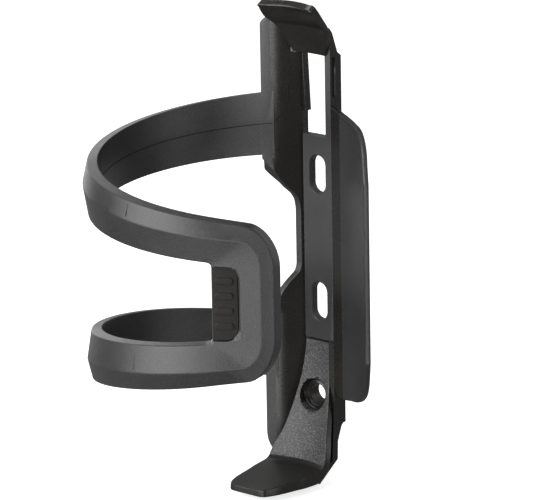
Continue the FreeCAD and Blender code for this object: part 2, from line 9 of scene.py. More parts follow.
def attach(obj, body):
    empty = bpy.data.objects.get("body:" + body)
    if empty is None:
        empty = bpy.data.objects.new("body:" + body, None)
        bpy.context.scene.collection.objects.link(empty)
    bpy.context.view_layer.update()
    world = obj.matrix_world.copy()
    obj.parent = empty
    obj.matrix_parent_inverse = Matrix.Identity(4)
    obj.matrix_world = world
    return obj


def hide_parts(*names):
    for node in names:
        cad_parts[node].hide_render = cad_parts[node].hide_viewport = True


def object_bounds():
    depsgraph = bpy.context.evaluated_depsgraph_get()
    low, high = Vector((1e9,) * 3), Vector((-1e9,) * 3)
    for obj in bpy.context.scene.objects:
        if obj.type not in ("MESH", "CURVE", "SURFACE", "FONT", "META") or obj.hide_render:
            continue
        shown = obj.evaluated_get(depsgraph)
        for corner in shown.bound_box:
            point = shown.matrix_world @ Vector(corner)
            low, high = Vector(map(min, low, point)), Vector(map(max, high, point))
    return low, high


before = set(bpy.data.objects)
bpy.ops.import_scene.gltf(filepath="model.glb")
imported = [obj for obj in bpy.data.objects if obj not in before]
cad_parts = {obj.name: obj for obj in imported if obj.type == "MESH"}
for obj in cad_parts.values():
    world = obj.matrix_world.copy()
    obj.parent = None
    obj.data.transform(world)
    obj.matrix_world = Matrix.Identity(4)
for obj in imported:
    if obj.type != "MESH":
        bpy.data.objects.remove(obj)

# Looks of the side-entry bottle cage.  Lengths are in millimetres until a mesh is finished, and the
# axes are the frame's own: +X to the wing, -Y towards the bottle, +Z up.

cad_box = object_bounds()
MM = 0.001

# ---------------------------------------------------------------- sizes shared with the frame

BOTTLE = 35.5              # radius of the bottle's cylinder
AXIS_Y = -40.26            # the cylinder's axis
PLATE_FRONT = -2.5
RAIL_IN = 5.2
RAIL_OUT = 7.2
RAIL_FRONT = -4.8
CREASE = 20.0              # degrees round the axis, where each side meets the cylinder
LOWER_BOLT = -32.0
SEAT_Y = -3.5              # floor of the screw-head recess
SEAT_RIM = 4.72
DEGREE = math.pi / 180.0


def around(radius, angle, height=0.0):
    """A point round the bottle's axis; angle 0 is at the spine, 90 at +X."""
    return Vector((radius * math.sin(angle * DEGREE),
                   AXIS_Y + radius * math.cos(angle * DEGREE), height))


# ---------------------------------------------------------------- curves and outlines

def table(points):
    """A smooth function through (place, value...) points, by monotone cubic interpolation."""
    places = [p[0] for p in points]
    columns = list(zip(*[p[1:] for p in points]))

    def slopes(values):
        rises = [(b - a) / (y - x) for a, b, x, y in zip(values, values[1:], places, places[1:])]
        inner = [0.0 if a * b <= 0.0 else 2.0 * a * b / (a + b) for a, b in zip(rises, rises[1:])]
        return [rises[0]] + inner + [rises[-1]]

    tangents = [slopes(c) for c in columns]

    def at(place):
        place = min(max(place, places[0]), places[-1])
        k = min(max(bisect.bisect_right(places, place) - 1, 0), len(places) - 2)
        step = places[k + 1] - places[k]
        t = (place - places[k]) / step
        found = []
        for values, slope in zip(columns, tangents):
            a, b = values[k], values[k + 1]
            found.append((2 * t**3 - 3 * t**2 + 1) * a + (t**3 - 2 * t**2 + t) * step * slope[k]
                         + (-2 * t**3 + 3 * t**2) * b + (t**3 - t**2) * step * slope[k + 1])
        return found if len(found) > 1 else found[0]
    return at


def rounded(corners, facets=6):
    """A closed outline from (s, z, radius) corners, each rounded off."""
    outline = []
    count = len(corners)
    for k in range(count):
        here = Vector(corners[k][:2])
        radius = corners[k][2]
        if radius <= 0.0:
            outline.append(here)
            continue
        before = (Vector(corners[k - 1][:2]) - here).normalized()
        after = (Vector(corners[(k + 1) % count][:2]) - here).normalized()
        half = before.angle(after) / 2.0
        back = radius / math.tan(half)
        centre = here + (before + after).normalized() * (radius / math.sin(half))
        start = here + before * back - centre
        end = here + after * back - centre
        turn = start.angle(end)
        for j in range(facets + 1):
            share = j / facets
            outline.append(centre + (start * math.sin((1 - share) * turn)
                                     + end * math.sin(share * turn)) / math.sin(turn))
    return [(p.x, p.y) for p in outline]


# ---------------------------------------------------------------- mesh building

SHARP = 32.0               # degrees between faces above which an edge stays sharp
WELD = 1e-4
COPY_WELD = 2e-3
CORNER_ANGLE = 25.0        # degrees between faces above which an edge may be rounded


def weigh_normals(obj):
    weight = obj.modifiers.new("weighted", "WEIGHTED_NORMAL")
    weight.keep_sharp = True


def finish_mesh(bm, name, sharp=SHARP):
    """A mesh object in metres with smooth shading and weighted normals."""
    bmesh.ops.remove_doubles(bm, verts=bm.verts, dist=WELD)
    bmesh.ops.recalc_face_normals(bm, faces=bm.faces)
    bmesh.ops.scale(bm, vec=(MM, MM, MM), verts=bm.verts)
    mesh = bpy.data.meshes.new(name)
    bm.to_mesh(mesh)
    bm.free()
    mesh.shade_smooth()
    mesh.set_sharp_from_angle(angle=sharp * DEGREE)
    obj = bpy.data.objects.new(name, mesh)
    bpy.context.scene.collection.objects.link(obj)
    weigh_normals(obj)
    return obj


def plate(outline, near, far, radius, round_here=None, segments=3):
    """A flat plate in (s, w, z), from w near to w far, with rounded rims."""
    bm = bmesh.new()
    front = [bm.verts.new((s, near, z)) for s, z in outline]
    back = [bm.verts.new((s, far, z)) for s, z in outline]
    bm.faces.new(front)
    bm.faces.new(list(reversed(back)))
    count = len(outline)
    for k in range(count):
        j = (k + 1) % count
        bm.faces.new((front[j], front[k], back[k], back[j]))
    bmesh.ops.recalc_face_normals(bm, faces=bm.faces)
    rims = []
    for edge in bm.edges:
        a, b = edge.verts
        middle = (a.co + b.co) / 2.0
        if abs(a.co.y - b.co.y) < 1e-6 and (round_here is None or round_here(middle)):
            rims.append(edge)
    if radius > 0.0:
        bmesh.ops.bevel(bm, geom=rims, offset=radius, segments=segments, profile=0.5,
                        affect="EDGES", offset_type="OFFSET")
    return bm


def slice_along(bm, axis, places):
    """Cuts a mesh across one axis, so that it can bend there."""
    normal = [0.0, 0.0, 0.0]
    normal[axis] = 1.0
    for place in places:
        spot = [0.0, 0.0, 0.0]
        spot[axis] = place
        geom = bm.verts[:] + bm.edges[:] + bm.faces[:]
        bmesh.ops.bisect_plane(bm, geom=geom, dist=1e-5, plane_co=spot, plane_no=normal)


def steps(low, high, pitch):
    count = max(1, round((high - low) / pitch))
    return [low + (high - low) * k / count for k in range(count + 1)]


def bend(bm, place):
    """Moves every vertex from the flat pattern to its place on the object."""
    for vert in bm.verts:
        vert.co = place(*vert.co)


def bevelled_copy(node, name, radius=0.0, choose=None):
    """A CAD node's form, with the edges whose middles are chosen rounded."""
    bm = bmesh.new()
    bm.from_mesh(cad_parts[node].data)
    bmesh.ops.scale(bm, vec=(1.0 / MM, 1.0 / MM, 1.0 / MM), verts=bm.verts)
    bmesh.ops.remove_doubles(bm, verts=bm.verts, dist=COPY_WELD)
    bmesh.ops.dissolve_limit(bm, angle_limit=1.0 * DEGREE, verts=bm.verts, edges=bm.edges)
    bmesh.ops.recalc_face_normals(bm, faces=bm.faces)
    picked = []
    for edge in bm.edges if choose else []:
        if len(edge.link_faces) == 2 and edge.calc_face_angle() > CORNER_ANGLE * DEGREE:
            if choose((edge.verts[0].co + edge.verts[1].co) / 2.0):
                picked.append(edge)
    if picked:
        bmesh.ops.bevel(bm, geom=picked, offset=radius, segments=3, profile=0.5,
                        affect="EDGES", offset_type="OFFSET", clamp_overlap=True)
    return finish_mesh(bm, name)


def combine(obj, other, operation):
    """Joins another form to an object, or takes it out of it, for good."""
    obj.modifiers.clear()
    change = obj.modifiers.new("combine", "BOOLEAN")
    change.object = other
    change.operation = operation
    change.solver = "EXACT"
    evaluated = obj.evaluated_get(bpy.context.evaluated_depsgraph_get())
    obj.data = bpy.data.meshes.new_from_object(evaluated)
    obj.modifiers.clear()
    bpy.data.objects.remove(other)
    obj.data.shade_smooth()
    obj.data.set_sharp_from_angle(angle=SHARP * DEGREE)
    weigh_normals(obj)


def loft(rings):
    """A closed skin over rings that all have the same number of points."""
    bm = bmesh.new()
    rows = [[bm.verts.new(point) for point in ring] for ring in rings]
    count = len(rows[0])
    for low, high in zip(rows, rows[1:]):
        for k in range(count):
            j = (k + 1) % count
            bm.faces.new((low[k], low[j], high[j], high[k]))
    bm.faces.new(rows[0])
    bm.faces.new(list(reversed(rows[-1])))
    return bm


TURNED_SIDES = 64


def turned(profile, name):
    """A solid turned about the Y axis from (radius, y) points, centred on the lower bolt."""
    turns = [2 * math.pi * k / TURNED_SIDES for k in range(TURNED_SIDES)]
    rings = [[(radius * math.cos(turn), y, LOWER_BOLT + radius * math.sin(turn)) for turn in turns]
             for radius, y in profile]
    return finish_mesh(loft(rings), name)


# ---------------------------------------------------------------- materials

def noise(nodes, links, coordinate, scale, detail, roughness):
    made = nodes.new("ShaderNodeTexNoise")
    made.inputs["Scale"].default_value = scale
    made.inputs["Detail"].default_value = detail
    made.inputs["Roughness"].default_value = roughness
    links.new(coordinate, made.inputs["Vector"])
    return made.outputs["Fac"]


def spread(nodes, links, value, low, high, to_low, to_high):
    made = nodes.new("ShaderNodeMapRange")
    made.inputs["From Min"].default_value = low
    made.inputs["From Max"].default_value = high
    made.inputs["To Min"].default_value = to_low
    made.inputs["To Max"].default_value = to_high
    links.new(value, made.inputs["Value"])
    return made.outputs["Result"]


EDGE_REACH = 0.0003        # metres from an edge within which the painted edge highlight shows
GRAIN_DEPTH = 0.00012
# colour of the painted glints: pale specks that stand in for the sparkle of the grain
GLINT_COLOUR = (0.2, 0.2, 0.205)
# colour of the painted highlight along the edges
EDGE_HIGHLIGHT_COLOUR = (0.11, 0.11, 0.112)
CLOUD_SCALE = 70.0


def edge_highlight_mask(nodes, links):
    """1 on an edge of the moulding, 0 on its flats: where the painted edge highlight goes."""
    soft = nodes.new("ShaderNodeBevel")
    soft.samples = 4
    soft.inputs["Radius"].default_value = EDGE_REACH
    facing = nodes.new("ShaderNodeVectorMath")
    facing.operation = "DOT_PRODUCT"
    links.new(soft.outputs["Normal"], facing.inputs[0])
    links.new(nodes.new("ShaderNodeNewGeometry").outputs["Normal"], facing.inputs[1])
    return spread(nodes, links, facing.outputs["Value"], 0.995, 0.90, 0.0, 1.0)


def tinted(nodes, links, under, colour, factor):
    made = nodes.new("ShaderNodeMix")
    made.data_type = "RGBA"
    made.inputs["B"].default_value = (*colour, 1.0)
    links.new(under, made.inputs["A"])
    links.new(factor, made.inputs["Factor"])
    return made.outputs["Result"]


def nylon(name, dark, light, rough, grain, grain_mm, glint, glint_from, edge, specular):
    """Moulded glass-filled nylon: a spark-eroded grain, cloudy gloss, pale specks painted in as glints,
    and painted highlights along the edges.
    """
    material = bpy.data.materials.new(name)
    material.use_nodes = True
    nodes, links = material.node_tree.nodes, material.node_tree.links
    shader = nodes["Principled BSDF"]
    shader.inputs["Specular IOR Level"].default_value = specular
    place = nodes.new("ShaderNodeTexCoord").outputs["Object"]
    cells = 1.0 / (grain_mm * MM)

    cloud = noise(nodes, links, place, CLOUD_SCALE, 4.0, 0.55)
    fine = noise(nodes, links, place, cells, 2.0, 0.6)
    # pale specks in the colour are painted glints of the grain
    glints = noise(nodes, links, place, cells * 1.2, 1.0, 0.5)

    shade = nodes.new("ShaderNodeMath")
    shade.operation = "ADD"
    links.new(spread(nodes, links, fine, 0.3, 0.7, 0.0, 0.6), shade.inputs[0])
    links.new(spread(nodes, links, cloud, 0.3, 0.7, 0.0, 0.4), shade.inputs[1])
    base = nodes.new("ShaderNodeMix")
    base.data_type = "RGBA"
    base.inputs["A"].default_value = (*dark, 1.0)
    base.inputs["B"].default_value = (*light, 1.0)
    links.new(shade.outputs[0], base.inputs["Factor"])
    glinted = tinted(nodes, links, base.outputs["Result"], GLINT_COLOUR,
                     spread(nodes, links, glints, glint_from, glint_from + 0.1, 0.0, glint))
    # edge sets the strength of the painted highlight along the moulding's edges, varied by the cloud
    # noise
    if edge > 0.0:
        rim = nodes.new("ShaderNodeMath")
        rim.operation = "MULTIPLY"
        links.new(edge_highlight_mask(nodes, links), rim.inputs[0])
        links.new(spread(nodes, links, cloud, 0.25, 0.75, 0.3 * edge, edge), rim.inputs[1])
        glinted = tinted(nodes, links, glinted, EDGE_HIGHLIGHT_COLOUR, rim.outputs[0])
    links.new(glinted, shader.inputs["Base Color"])

    gloss = nodes.new("ShaderNodeMath")
    gloss.operation = "ADD"
    links.new(spread(nodes, links, cloud, 0.3, 0.7, rough - 0.05, rough + 0.05), gloss.inputs[0])
    links.new(spread(nodes, links, fine, 0.3, 0.7, -0.03, 0.03), gloss.inputs[1])
    links.new(gloss.outputs[0], shader.inputs["Roughness"])

    bump = nodes.new("ShaderNodeBump")
    bump.inputs["Strength"].default_value = grain
    bump.inputs["Distance"].default_value = GRAIN_DEPTH
    links.new(fine, bump.inputs["Height"])
    links.new(bump.outputs["Normal"], shader.inputs["Normal"])
    return material


GRAINED = nylon("nylon_grained", (0.013, 0.0127, 0.0127), (0.034, 0.0335, 0.0345), 0.34, 0.6, 0.3,
                0.12, 0.58, 0.35, 0.5)
# darker smooth finish; on the left wall's inner face and on the foot's side facing the wing its dark
# colour is painted shade
SMOOTH_AND_SHADE = nylon("nylon_smooth_and_shade", (0.0085, 0.0077, 0.0066), (0.0125, 0.0114, 0.0099), 0.27, 0.02, 0.8,
               0.006, 0.62, 0.0, 0.5)
SHELF = nylon("nylon_shelf", (0.0075, 0.0068, 0.006), (0.0115, 0.0105, 0.0092), 0.33, 0.04, 0.8,
              0.02, 0.64, 0.9, 0.4)
PLATE = nylon("nylon_plate", (0.022, 0.0217, 0.022), (0.032, 0.032, 0.033), 0.34, 0.15, 0.4,
              0.06, 0.62, 0.5, 0.5)
# the foot's strong pale specks are painted glints of its spark-eroded grain
FOOT = nylon("nylon_foot", (0.004, 0.0038, 0.0038), (0.036, 0.0355, 0.0365), 0.34, 1.0, 0.3,
             0.55, 0.52, 0.3, 0.5)
PANEL = nylon("nylon_panel", (0.009, 0.008, 0.0074), (0.016, 0.0143, 0.0135), 0.5, 0.35, 0.3,
              0.06, 0.6, 0.25, 0.2)
LINE = nylon("nylon_line", (0.0035, 0.003, 0.0026), (0.007, 0.0062, 0.0055), 0.55, 0.1, 0.4,
             0.0, 0.62, 0.0, 0.2)


def dress(obj, material, node):
    """Gives a piece its finish and makes it ride in the place of its CAD node."""
    obj.data.materials.clear()
    for one in material if isinstance(material, (list, tuple)) else [material]:
        obj.data.materials.append(one)
    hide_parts(*([node] if isinstance(node, str) else node))
    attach(obj, "root")


def finish_by(obj, choose):
    """Sets each face's finish from its centre, in millimetres, and its normal."""
    for face in obj.data.polygons:
        face.material_index = choose(face.center / MM, face.normal)


# ---------------------------------------------------------------- arms and loop: one band

ROOT = 20.0                # degrees round the axis where the arms start
GAP_END = 214.0            # and where the gap between them ends
LOOP_Z = 13.0
DEG_MM = 0.7               # millimetres along the band for each degree
CORNER = 0.8               # corners of the gap, where the arms meet the loop
DRAFT = 0.25               # how far the band's edges stand off the bottle
EDGE = 3.0                 # thickness at the edges
RIDGE_HEIGHT = 4.6         # and at the ridge
SLANT = 0.45               # lean of the edges, from the bottle's side outward
FLARE_START = 210.0        # the loop's end stands away from the bottle past this angle
FLARE = 28.0
LOOP_FULLER = 0.8          # extra thickness of the loop's outer rim
FULLER_START = 214.0
FULLER_SPAN = 18.0


def outer_height(turn):
    return 42.2 - 0.0965 * (turn - ROOT)


def ridge_height(turn):
    return 34.2 - 0.0807 * (turn - ROOT)


def gap_height(turn):
    return 23.8 - 0.0665 * (turn - ROOT)


def inner_radius(turn):
    past = max(0.0, turn - FLARE_START) * DEGREE
    return BOTTLE + FLARE * past ** 3


# each contour: height of the arm part, angle of the end, corner size along the arm and in height
RIM_INNER = (outer_height, 241.7, 11.0, 11.0)
RIM_OUTER = (lambda turn: outer_height(turn) - SLANT, 238.1, 10.0, 11.5)
RIDGE = (ridge_height, 233.1, 7.0, 7.0)
FARTHEST = 60.0
HALVINGS = 40


def inside(contour, turn, height):
    """Whether a place on the unrolled band lies within a contour."""
    rise, end, corner_turn, corner_height = contour
    if turn > end or height > rise(turn):
        return False
    across = (turn - (end - corner_turn)) / corner_turn
    up = (height - (rise(turn) - corner_height)) / corner_height
    return across <= 0.0 or up <= 0.0 or across * across + up * up <= 1.0


def reach(contour, start, ray):
    """Where a ray leaves a contour, found by halving."""
    near, far = 0.0, FARTHEST
    for _ in range(HALVINGS):
        middle = (near + far) / 2.0
        if inside(contour, start[0] + ray[0] * middle, start[1] + ray[1] * middle):
            near = middle
        else:
            far = middle
    return start[0] + ray[0] * near, start[1] + ray[1] * near


# how far each of the six corners of the band's section is rounded back
SETBACKS = (0.25, 0.35, 0.35, 0.35, 0.25, 0.1)
FACET_STEPS = 12
CORNER_STEPS = 5


def outer_edge(turn):
    """How far the outer rim's front edge stands out: the loop's outer facet is flatter."""
    share = min(max((turn - FULLER_START) / FULLER_SPAN, 0.0), 1.0)
    return DRAFT + EDGE + LOOP_FULLER * share * share * (3.0 - 2.0 * share)


def band_section(start, ray, mirrored):
    """The band's section along one ray, with its six corners rounded."""
    length = math.hypot(ray[0] * DEG_MM, ray[1])
    ray = (ray[0] / length, ray[1] / length)
    gap = (start[0] + ray[0] * CORNER, start[1] + ray[1] * CORNER)
    gap_out = (gap[0] + ray[0] * SLANT, gap[1] + ray[1] * SLANT)
    crest = reach(RIDGE, start, ray)
    rim = reach(RIM_OUTER, start, ray)
    corners = [(*reach(RIM_INNER, start, ray), DRAFT), (*rim, outer_edge(rim[0])),
               (*crest, RIDGE_HEIGHT), (*gap_out, DRAFT + EDGE), (*gap, DRAFT), (*crest, 0.0)]

    def spot(a, b, share):
        turn, height, extra = [p + (q - p) * share for p, q in zip(a, b)]
        level = LOOP_Z + (-height if mirrored else height)
        return around(inner_radius(turn) + extra, -turn, level)

    section = []
    for k, here in enumerate(corners):
        corner = spot(here, here, 0.0)
        after = corners[(k + 1) % 6]
        to_last = spot(here, corners[k - 1], 0.05) - corner
        to_next = spot(here, after, 0.05) - corner
        last, following = to_last.normalized() * SETBACKS[k], to_next.normalized() * SETBACKS[k]
        for j in range(CORNER_STEPS):
            t = j / (CORNER_STEPS - 1.0)
            section.append(corner + last * (1 - t) ** 2 + following * t ** 2)
        reach_on = (spot(after, after, 0.0) - corner).length
        first, final = (SETBACKS[k] + 0.1) / reach_on, 1.0 - (SETBACKS[(k + 1) % 6] + 0.1) / reach_on
        for j in range(FACET_STEPS):
            section.append(spot(here, after, first + (final - first) * j / (FACET_STEPS - 1)))
    return section


def half_band(mirrored):
    """Sections from the root of an arm to the middle of the loop."""
    sections = []
    pivot = (GAP_END - CORNER / DEG_MM, gap_height(GAP_END) - CORNER)
    for turn in steps(ROOT, pivot[0], 2.0):
        sections.append(band_section((turn, gap_height(turn) - CORNER), (0.0, 1.0), mirrored))
    for swing in steps(0.0, 90.0, 3.0)[1:]:
        angle = (90.0 - swing) * DEGREE
        sections.append(band_section(pivot, (math.cos(angle) / DEG_MM, math.sin(angle)), mirrored))
    for share in (0.8, 0.6, 0.4, 0.2):
        sections.append(band_section((pivot[0], pivot[1] * share), (1.0 / DEG_MM, 0.0), mirrored))
    return sections


def make_band():
    middle = [band_section((GAP_END - CORNER / DEG_MM, 0.0), (1.0 / DEG_MM, 0.0), False)]
    sections = half_band(False) + middle + list(reversed(half_band(True)))
    return finish_mesh(loft(sections), "loop_band")


PANEL_TURN = 219.5
PANEL_OUT = 3.0            # the flat pattern is wound round the bottle this far out
PANEL_LEFT = -3.25
PANEL_RIGHT = 3.9
PANEL_HALF = 10.4
PANEL_PLAY = 0.12
PANEL_FLOOR = 2.0
PANEL_SKIN = 0.8
RIB_PITCH = 4.2
RIB_HALF = 1.0
RIB_HEIGHT = 0.45


def on_loop(along, out, z):
    """Place on the loop of a point of the panel's flat pattern."""
    turn = PANEL_TURN + along / (BOTTLE + PANEL_OUT) / DEGREE
    return around(inner_radius(turn) + out, -turn, LOOP_Z + z)


def panel_outline(left, right, half, corner):
    return rounded([(left, -half, 0.0), (right, -half, corner), (right, half, corner),
                    (left, half, 0.0)], 8)


def make_panel():
    """The dark inset of the loop, with plain raised grip ribs."""
    top = PANEL_FLOOR + PANEL_SKIN
    outline = panel_outline(PANEL_LEFT, PANEL_RIGHT - PANEL_PLAY, PANEL_HALF - PANEL_PLAY, 3.5)
    parts = [plate(outline, top, PANEL_FLOOR, 0.18, segments=2)]
    for rib in (-1.5, -0.5, 0.5, 1.5):
        low, high = rib * RIB_PITCH - RIB_HALF, rib * RIB_PITCH + RIB_HALF
        shape = rounded([(s, z, 0.95) for s, z in ((-2.6, low), (2.5, low), (2.5, high), (-2.6, high))])
        parts.append(plate(shape, top + RIB_HEIGHT, top - 0.05, 0.25, lambda p: p.y > top))
    joined = bmesh.new()
    for part in parts:
        slice_along(part, 0, steps(-3.0, 3.5, 0.7))
        bend(part, on_loop)
        mesh = bpy.data.meshes.new("part")
        part.to_mesh(mesh)
        part.free()
        joined.from_mesh(mesh)
        bpy.data.meshes.remove(mesh)
    return finish_mesh(joined, "grip_panel")


band = make_band()
cutter_form = plate(panel_outline(-12.0, PANEL_RIGHT, PANEL_HALF, 3.6), 9.0, PANEL_FLOOR, 0.0)
slice_along(cutter_form, 0, steps(-11.0, 3.5, 0.7))
bend(cutter_form, on_loop)
combine(band, finish_mesh(cutter_form, "recess"), "DIFFERENCE")
dress(band, GRAINED, ("arm_upper", "arm_lower", "front_loop"))
panel = make_panel()
dress(panel, PANEL, "loop_panel")

# ---------------------------------------------------------------- left side wall

WALL = 1.6
# plan points where the sheet leaves the rail, on the bottle's side and at the back
SHEET_ROOT = (-6.6, -0.7)
SHEET_BACK = (-8.15, 0.0)
FLANGE_EDGE = 26.0         # degrees round the axis where the strip ends
SHEET_TOP = 76.3
SHEET_FOOT = -52.6
# side view of the waist: height, then the Y that the sheet is cut back to
CUT_DEPTH = table([(-10.8, -8.9), (-7.6, -7.2), (-3.3, -5.5), (-0.9, -4.2), (1.1, -2.8), (2.5, -1.9),
                   (4.8, -1.5), (20.0, -1.5), (23.1, -1.8), (25.1, -2.6), (26.6, -3.8), (29.3, -5.6),
                   (33.0, -7.3), (36.8, -8.9)])
WAIST_LOW, WAIST_HIGH = -10.8, 36.8
UNCUT = -60.0
# height, then the Y from which the sheet starts: its back edge leans forward at both ends
LEAN = table([(-52.6, -3.7), (-50.4, -3.7), (-45.1, -3.5), (-41.0, -1.9), (-40.2, -1.2), (-39.9, 0.0),
              (67.0, 0.0), (68.1, -1.5), (73.8, -3.6), (76.3, -3.6)])
# height, then the angle round the axis where the strip ends
EDGE_TURN = table([(-52.6, 20.8), (-51.0, 22.4), (-49.0, 24.6), (-47.3, 25.6), (-45.0, FLANGE_EDGE),
                   (70.0, FLANGE_EDGE), (74.4, FLANGE_EDGE), (75.6, 25.0), (76.3, 23.6)])


def along_line(a, b, y):
    """The point of the line through a and b at a given Y."""
    share = (y - a[1]) / (b[1] - a[1])
    return Vector((a[0] + (b[0] - a[0]) * share, y))


def flat(point):
    return Vector((point.x, point.y))


def turn_at(y, radius):
    """Degrees round the axis at which a circle reaches a given Y."""
    return math.degrees(math.acos((y - AXIS_Y) / radius))


def fillet(a, corner, b, size, count):
    """A corner rounded off by a curve that leaves it by a given distance."""
    before = corner + (a - corner).normalized() * size
    after = corner + (b - corner).normalized() * size
    return [before * (1 - t) ** 2 + corner * 2 * t * (1 - t) + after * t * t
            for t in [k / count for k in range(count + 1)]]


def sheet_ring(z):
    """Plan of the left side wall at one height: always the same number of points."""
    crease = flat(around(BOTTLE, -CREASE))
    crease_back = flat(around(BOTTLE + WALL, -CREASE))
    root = Vector(SHEET_ROOT)
    back = Vector(SHEET_BACK)
    lean = LEAN(z)
    if lean < SHEET_ROOT[1]:
        root = along_line(root, crease, lean - 0.05)
        back = along_line(back, crease_back, lean)
    elif lean < 0.0:
        back = along_line(back, crease_back, lean)
    turn = EDGE_TURN(z)
    cut = CUT_DEPTH(z) if WAIST_LOW < z < WAIST_HIGH else UNCUT
    bend_in = around(BOTTLE, -FLANGE_EDGE)
    if cut > crease.y:
        tip_in, tip_out = along_line(root, crease, cut), along_line(back, crease_back, cut)
        turned_in = cut < crease_back.y
        if turned_in:
            tip_out = flat(around(BOTTLE + WALL, -turn_at(cut, BOTTLE + WALL)))
        inner = fillet(root, root.lerp(tip_in, 0.6), tip_in, 0.05, 8) + [root.lerp(tip_in, 0.8)] * 6
        start_out = crease_back if turned_in else tip_out
        outer = [start_out.lerp(back, (0.02 if turned_in else 0.2) + 0.1 * k) for k in range(6)]
    else:
        if cut > bend_in.y:
            turn = min(turn, turn_at(cut, BOTTLE))
        turn = max(turn, CREASE + 0.6)
        tip_in = flat(around(BOTTLE, -turn))
        tip_out = flat(around(BOTTLE + WALL, -turn))
        if cut > bend_in.y:
            turn_out = min(turn_at(tip_in.y, BOTTLE + WALL), FLANGE_EDGE)
            tip_out = flat(around(BOTTLE + WALL, -turn_out))
        size = min(3.4, (tip_in - crease).length * 0.85)
        inner = fillet(root, crease, tip_in, size, 8)
        start = CREASE + size / BOTTLE / DEGREE
        inner += [flat(around(BOTTLE, -(start + (turn - start) * k / 7.0))) for k in range(1, 7)]
        outer = [flat(around(BOTTLE + WALL, -(CREASE + (turn - CREASE) * k / 5.0)))
                 for k in range(4, -1, -1)] + [crease_back.lerp(back, 0.3)]
    rim_in, rim_out = (0.25, 0.4) if cut > UNCUT else (0.45, 0.45)
    front = fillet(inner[-1], tip_in, tip_out, min(rim_in, (tip_in - inner[-1]).length * 0.9), 4)
    rear = fillet(tip_in, tip_out, outer[0], min(rim_out, (tip_out - outer[0]).length * 0.9), 4)
    floor = Vector((root.x, max(back.y, root.y + 0.3)))
    return [root] + inner + front + rear + outer + [back, floor]


def make_sheet():
    levels = [SHEET_FOOT] + steps(SHEET_FOOT + 0.3, -45.0, 0.7) + [-42.0, -41.0, -40.4, -40.0, -39.8]
    levels += [-30.0, -20.0] + steps(-10.9, 5.0, 0.5) + [12.0] + steps(19.5, 36.9, 0.5)
    levels += [45.0, 55.0, 66.9, 67.2, 68.1, 70.0] + steps(72.0, SHEET_TOP - 0.3, 0.5) + [SHEET_TOP]
    rings = [[(p.x, p.y, z) for p in sheet_ring(z)] for z in levels]
    return finish_mesh(loft(rings), "side_wall_shell", 38.0)


sheet = make_sheet()
dress(sheet, (SMOOTH_AND_SHADE, GRAINED), ("flange_upper", "flange_lower"))


def sheet_finish(centre, normal):
    """The inner wall gets the dark smooth finish as painted shade for the channel; the strip beyond the
    crease and the back are grained.
    """
    shaded_wall = normal.x > 0.5 and abs(centre.x) < abs(around(BOTTLE, -CREASE).x) + 0.6
    return 0 if shaded_wall else 1


finish_by(sheet, sheet_finish)

# ---------------------------------------------------------------- wing

WING_ROOT = Vector((RAIL_OUT, RAIL_FRONT, 0.0))
WING_FLAT = around(BOTTLE, CREASE) - WING_ROOT
WING_RUN = WING_FLAT.length             # width of the flat part, from the rail to the crease
WING_FLARE = 1.4                        # how far the wing has opened out FLARE_TURN past the crease
FLARE_TURN = 30.0
WING_ROUND = 0.5
CREASE_EASE = 1.0


def wing_place(s, w, z):
    """Place of (s, w, z) on the wing: straight from the rail to the crease, then round the bottle."""
    along = WING_FLAT / WING_RUN
    spot = straight = WING_ROOT + along * s + Vector((-along.y, along.x, 0.0)) * w
    if s > WING_RUN:
        angle = CREASE + (s - WING_RUN) / BOTTLE / DEGREE
        share = (angle - CREASE) / FLARE_TURN
        spot = around(BOTTLE + WING_FLARE * share * share + w, angle)
        ease = s - WING_RUN
        if ease < CREASE_EASE:
            spot = straight.lerp(spot, ease * (2.0 - ease))
    return Vector((spot.x, spot.y, z))


WING_SAMPLES = [(k * 0.25, wing_place(k * 0.25, 0.0, 0.0).x) for k in range(-4, 140)]


def wing_pattern(x):
    """From X on the object to s on the flat pattern, for an outline given in front view."""
    for (s, reached), (further, reached_on) in zip(WING_SAMPLES, WING_SAMPLES[1:]):
        if reached_on >= x:
            return s + (x - reached) / (reached_on - reached) * (further - s)
    return WING_SAMPLES[-1][0]


ARC_STEPS = 10


def arc_through(a, b, c):
    """Points of the arc from a through b to c, without its two ends."""
    (ax, az), (bx, bz), (cx, cz) = a, b, c
    d = 2 * (ax * (bz - cz) + bx * (cz - az) + cx * (az - bz))
    ux = ((ax**2 + az**2) * (bz - cz) + (bx**2 + bz**2) * (cz - az) + (cx**2 + cz**2) * (az - bz)) / d
    uz = ((ax**2 + az**2) * (cx - bx) + (bx**2 + bz**2) * (ax - cx) + (cx**2 + cz**2) * (bx - ax)) / d
    radius = math.hypot(ax - ux, az - uz)
    first = math.atan2(az - uz, ax - ux)
    last = math.atan2(cz - uz, cx - ux)
    through = math.atan2(bz - uz, bx - ux)
    span = (last - first) % (2 * math.pi)
    if (through - first) % (2 * math.pi) > span:
        span -= 2 * math.pi
    turns = [first + span * k / ARC_STEPS for k in range(1, ARC_STEPS)]
    return [(ux + radius * math.cos(turn), uz + radius * math.sin(turn)) for turn in turns]


def drawn(points, arcs):
    """A front-view outline whose named points are the middles of arcs."""
    outline = []
    for k, point in enumerate(points):
        if k in arcs:
            outline += arc_through(points[k - 1], point, points[(k + 1) % len(points)])
        else:
            outline.append(point)
    return outline


